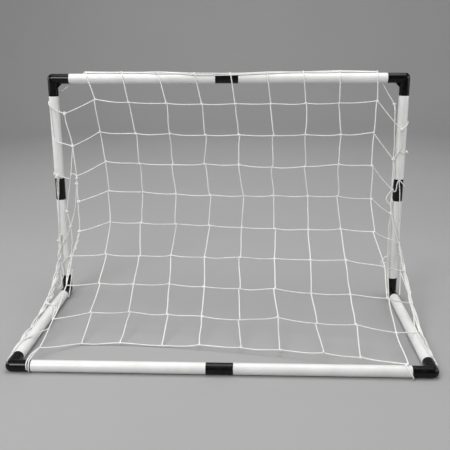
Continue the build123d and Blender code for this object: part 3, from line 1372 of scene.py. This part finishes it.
def left_side(places: FramePlaces, ropes: Ropework, hang_y: float) -> SideEdge:
    """The left side's lacing, gathered edge and corner tie.

    Args:
        places: the frame's places.
        ropes: what makes the cord.
        hang_y: where the hanging net is.

    Returns:
        The side, ready to build.
    """
    corner_run = ((84, -14, 602), (72, -27, 592), (58, -28, 581), (40, -24, 570), (20, -31, 557),
                  (0, -30, 545), (-13, -20, 533), (-9, -3, 521), (8, 0, 509), (30, 5, 501))
    face_strand = ((46, 5, 417), (17, 1, 424), (3, -1, 429), (-3, -1, 441), (-5, -1, 470), (-7, -2, 500),
                   (-9, -3, 519))
    inner_string = ((46, 5, 417), (36, 1, 350), (33, 0, 330), (24, 0, 280), (18, 1, 240))
    coupler_tie = ((-4, -28, 346), (-14, -12, 342), (-2, 0, 338), (10, 0, 335), (31, 1, 329))
    small_loop = ((33, 1, 334), (38, 2, 343), (46, 3, 342), (51, 5, 338))
    coupler_legs = (((3, 0, 337), (0, -1, 318), (-1, -1, 296), (-4, -1, 274)),
                    ((-1, 0, 337), (-4, -1, 318), (-5, -1, 298), (-4, -1, 274), (-5, -1, 240),
                     (-7, -1, 200), (-12, 0, 160)))
    knee = ((18, 1, 240), (25, 3, 199), (27, 4, 160), (20, 1, 113))
    branch = ((51, 5, 330), (48, 5, 300), (40, 4, 245), (25, 3, 199))
    back_branch = ((25, 3, 199), (14, 1, 172), (0, -1, 150), (-12, 2, 128))
    over_post = ((20, 1, 113), (7, 4, 110), (-6, 6, 92), (-12, 8, 76), (-19, 12, 48))
    to_tube = ((20, 1, 113), (25, 50, 100), (33, 100, 88), (40, 131, 79))
    past_elbow = ((24, 12, 82), (22, 20, 56), (19, 28, 30), (15, 36, 8))
    hanging_loops = (((-14, 8, 112), (-4, 6, 84), (-3, 10, 60), (-9, 16, 46), (-16, 22, 56),
                      (-18, 14, 84)),
                     ((-16, 12, 92), (-8, 14, 66), (-6, 24, 42), (-12, 40, 34), (-19, 50, 46)))
    over_tube = (((40, 131, 79), (20, 134, 40), (4, 136, 29), (-12, 130, 28), (-20, 118, 34)),
                 ((-19, 128, 26), (2, 140, 29), (13, 156, 26), (19, 190, 22), (27, 225, 26),
                  (36, 247, 36)),
                 ((13, 150, 26), (18, 158, 30), (20, 168, 25), (15, 166, 22), (14, 156, 25)),
                 ((36, 290, 30), (12, 318, 28), (-6, 352, 27), (-15, 392, 20)))
    bundle = ((-4, 0, 176), (-8, 3, 140), (-12, 9, 110), (-16, 22, 76), (-17, 48, 54), (-17, 92, 34),
              (-18, 133, 23), (-17, 213, 16), (-17, 293, 14), (-16, 373, 13), (-14, 420, 14))
    tie = ((40, 371, 21), (41, 404, 26), (41, 430, 28), (41, 444, 25), (41, 454, 16), (41, 452, 6))
    second_tie = ((40, 371, 21), (38, 408, 28), (37, 434, 29), (36, 450, 21), (37, 454, 10))
    return SideEdge(
        Side.LEFT, places, ropes, hang_y,
        upper=(corner_run, face_strand, inner_string, coupler_tie, small_loop, *coupler_legs, branch),
        lower=(knee, back_branch, over_post, to_tube, past_elbow, *hanging_loops, *over_tube),
        doubled=(((51, 13, 189), (44, 18, 160), (34, 24, 132), (30, 27, 123)),
                 ((30, 27, 123), (20, 1, 113))),
        bundle=bundle,
        bundle_winding=Winding(strands=6, spread=5.2, turns=5.5),
        knots_upper=((46, 5, 417), (51, 5, 332), (50, 5, 318), (0, 0, 338), (30, 5, 501)),
        knots_lower=((18, 1, 240), (25, 3, 199), (20, 1, 113), (52, 7, 269), (51, 13, 189), (-12, 2, 158)),
        tie=(tie, second_tie),
    )


def right_side(places: FramePlaces, ropes: Ropework, hang_y: float) -> SideEdge:
    """The right side's lacing, gathered edge and corner tie.

    Args:
        places: the frame's places.
        ropes: what makes the cord.
        hang_y: where the hanging net is.

    Returns:
        The side, ready to build.
    """
    corner_run = ((68, -14, 602), (62, -27, 592), (57, -22, 580), (40, -16, 550), (23, -12, 522),
                  (14, -22, 504), (0, -30, 492), (-13, -20, 480), (-10, -3, 471), (3, 0, 460))
    inner_edge = ((23, -12, 522), (23, -1, 510), (21, 0, 458), (19, 0, 420), (20, 0, 384))
    face_strand = ((3, 0, 460), (0, -1, 436), (2, -1, 410), (20, 0, 384))
    knob_tail = ((2, -1, 404), (-6, 0, 398), (-13, -8, 400), (-8, -26, 402))
    second_inner = ((20, 0, 384), (15, 0, 350), (17, 1, 322), (18, 0, 303))
    hook = ((18, 0, 303), (10, 0, 298), (7, 0, 306), (6, 0, 318), (1, -1, 328), (-6, -1, 322),
            (-15, -4, 312))
    side_loop = ((18, 0, 303), (27, 2, 292), (32, 3, 280), (27, 3, 270), (21, 2, 264), (18, 1, 250),
                 (17, 0, 238))
    coupler_string = ((1, -1, 326), (-2, -1, 300), (-4, -1, 270), (-5, -1, 240), (-7, -1, 200),
                      (-8, 0, 159))
    across_post = ((17, 0, 238), (10, 0, 216), (0, -1, 190), (-8, 0, 159))
    inner_pair = (((17, 0, 238), (17, 1, 205), (18, 2, 150), (16, 3, 100), (15, 8, 60), (15, 22, 30),
                   (14, 30, 8)),
                  ((17, 0, 238), (21, 2, 196), (19, 2, 140), (19, 4, 90), (16, 10, 52), (16, 24, 24)))
    inner_hook = ((18, 2, 122), (27, 5, 120), (35, 7, 108), (34, 7, 100), (26, 5, 104), (17, 3, 106))
    outer_string = ((-17, 2, 133), (-17, 2, 112), (-18, 3, 70), (-17, 12, 34), (-14, 28, 22))
    cross_string = ((-17, 10, 78), (-18, 60, 66), (-18, 120, 54), (-17, 150, 49))
    fan = (((-17, 150, 49), (-14, 190, 37), (-4, 250, 28), (-3, 320, 27), (-8, 396, 26)),
           ((-17, 252, 14), (-16, 300, 22), (-12, 350, 24), (-13, 405, 18)))
    bundle = ((-8, 1, 159), (-15, 2, 133), (-17, 22, 114), (-17, 47, 97), (-17, 77, 78), (-17, 110, 64),
              (-17, 150, 49), (-18, 200, 32), (-18, 252, 17), (-17, 292, 13), (-16, 350, 13),
              (-14, 415, 14))
    tie = ((59, 436, 29), (56, 447, 27), (51, 456, 21), (46, 460, 12), (43, 456, 4))
    return SideEdge(
        Side.RIGHT, places, ropes, hang_y,
        upper=(corner_run, inner_edge, face_strand, knob_tail, second_inner, hook, side_loop),
        lower=(coupler_string, across_post, *inner_pair, inner_hook, outer_string, cross_string, *fan),
        doubled=(((17, 0, 238), (6, 0, 205), (-8, 1, 159)), ((18, 0, 303), (17, 0, 238))),
        bundle=bundle,
        knots_upper=((23, -12, 522), (3, 0, 460), (20, 0, 384), (-13, -8, 400), (18, 0, 303)),
        knots_lower=((17, 0, 238), (-8, 1, 159), (-16, 2, 133), (-15, 3, 127), (-17, 47, 97),
                     (-17, 100, 68), (-17, 150, 49), (-17, 252, 15)),
        tie=(tie,),
        bundle_winding=Winding(strands=5, spread=4.0, turns=4.0),
        seed=37,
    )


@dataclass(frozen=True)
class SoftLight:
    """A square soft light."""

    name: str
    place: Point
    side: float  # metres
    power: float  # watts
    aim: Point = (0.0, 0.0, 0.3)

    def build(self) -> None:
        """Adds the light, facing the point that it aims at."""
        data = bpy.data.lights.new(self.name, "AREA")
        data.size = self.side
        data.energy = self.power
        lamp = placed(self.name, data)
        lamp.location = self.place
        lamp.rotation_euler = (Vector(self.aim) - Vector(self.place)).to_track_quat("-Z", "Y").to_euler()


@dataclass
class Studio:
    """A plain pale floor with a coved wall all round, soft lights, and the camera."""

    finishes: Finishes
    floor_radius: float = 3.6
    first_ring: float = 0.4
    floor_rings: int = 6
    cove_radius: float = 1.6
    cove_rings: int = 12
    wall_height: float = 4.2
    around: int = 96
    soft_lights: tuple[SoftLight, ...] = (
        SoftLight("overhead_soft", (0.0, 0.1, 2.5), 1.9, 40.0),
        SoftLight("key_soft", (-1.3, -2.1, 1.9), 1.2, 50.0),
        SoftLight("fill_soft", (2.2, -1.4, 1.4), 1.4, 12.0),
        SoftLight("left_soft", (-2.4, 0.1, 1.0), 1.1, 16.0, (0.0, 0.1, 0.3)),
        SoftLight("right_soft", (2.4, 0.1, 1.0), 1.1, 16.0, (0.0, 0.1, 0.3)),
        SoftLight("back_soft", (0.0, 2.3, 2.9), 2.4, 60.0, (0.0, 4.6, 0.4)),
    )
    surround: Colour = (0.82, 0.82, 0.83)
    surround_strength: float = 0.13
    camera_place: Point = (0.0715, -1.5221, 0.6945)
    camera_yaw: float = -2.563  # degrees, as are the next two
    camera_down: float = 15.743
    camera_roll: float = -0.33
    focal_share: float = 1.5022  # the focal length over the sensor's width

    def floor(self) -> None:
        """Turns the floor's profile about Z into one smooth sheet."""
        angles = np.linspace(0.0, math.pi / 2, self.cove_rings)
        rings = np.linspace(self.first_ring, self.floor_radius, self.floor_rings)
        profile = [(0.0, 0.0)] + [(radius, 0.0) for radius in rings]
        profile += [(self.floor_radius + self.cove_radius * math.sin(a),
                     self.cove_radius * (1 - math.cos(a))) for a in angles[1:]]
        profile.append((self.floor_radius + self.cove_radius, self.wall_height))
        vertices = [(0.0, 0.0, 0.0)]
        for radius, height in profile[1:]:
            for step in range(self.around):
                turn = 2 * math.pi * step / self.around
                vertices.append((radius * math.cos(turn), radius * math.sin(turn), height))
        faces = [(0, 1 + step, 1 + (step + 1) % self.around) for step in range(self.around)]
        for ring in range(len(profile) - 2):
            near, far = 1 + ring * self.around, 1 + (ring + 1) * self.around
            for step in range(self.around):
                after = (step + 1) % self.around
                faces.append((near + step, far + step, far + after, near + after))
        mesh = bpy.data.meshes.new("studio_floor")
        mesh.from_pydata(vertices, [], faces)
        mesh.shade_smooth()
        mesh.materials.append(self.finishes.floor)
        placed("studio_floor", mesh)

    def lights(self) -> None:
        """Adds the soft lights and a dim pale surround."""
        for light in self.soft_lights:
            light.build()
        world = bpy.context.scene.world or bpy.data.worlds.new("surround")
        bpy.context.scene.world = world
        world.use_nodes = True
        surround = world.node_tree.nodes["Background"]
        surround.inputs["Color"].default_value = (*self.surround, 1.0)
        surround.inputs["Strength"].default_value = self.surround_strength
        bpy.context.scene.view_settings.view_transform = "Standard"

    def camera(self) -> None:
        """Adds the camera, a little above the crossbar, behind the rear bar."""
        yaw, down, roll = (math.radians(a) for a in (self.camera_yaw, self.camera_down, self.camera_roll))
        ahead = Vector((math.sin(yaw) * math.cos(down), math.cos(yaw) * math.cos(down), -math.sin(down)))
        right = Vector((math.cos(yaw), -math.sin(yaw), 0.0))
        over = right.cross(ahead)
        turned_right = right * math.cos(roll) + over * math.sin(roll)
        turned_over = over * math.cos(roll) - right * math.sin(roll)
        data = bpy.data.cameras.new("camera")
        data.lens = data.sensor_width * self.focal_share
        camera = placed("camera", data)
        turn = Matrix((turned_right, turned_over, -ahead)).transposed().to_4x4()
        camera.matrix_world = Matrix.Translation(self.camera_place) @ turn
        bpy.context.scene.camera = camera

    def build(self) -> None:
        """Adds the floor, the lights and the camera."""
        self.floor()
        self.lights()
        self.camera()


def main() -> None:
    """Builds the goal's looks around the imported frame."""
    logging.basicConfig(level=logging.INFO, format="%(name)s: %(message)s")
    places = FramePlaces.read()
    finishes = Finishes.make()
    Studio(finishes).build()
    TubeFrame(finishes).build()
    ropes = Ropework(finishes.twine)
    net = NetField(places, ropes)
    net.build()
    TopBorder(places, ropes, net).build()
    FootBorder(ropes, net).build()
    left_side(places, ropes, net.hang_y).build()
    right_side(places, ropes, net.hang_y).build()


if __name__ == "__main__":
    main()
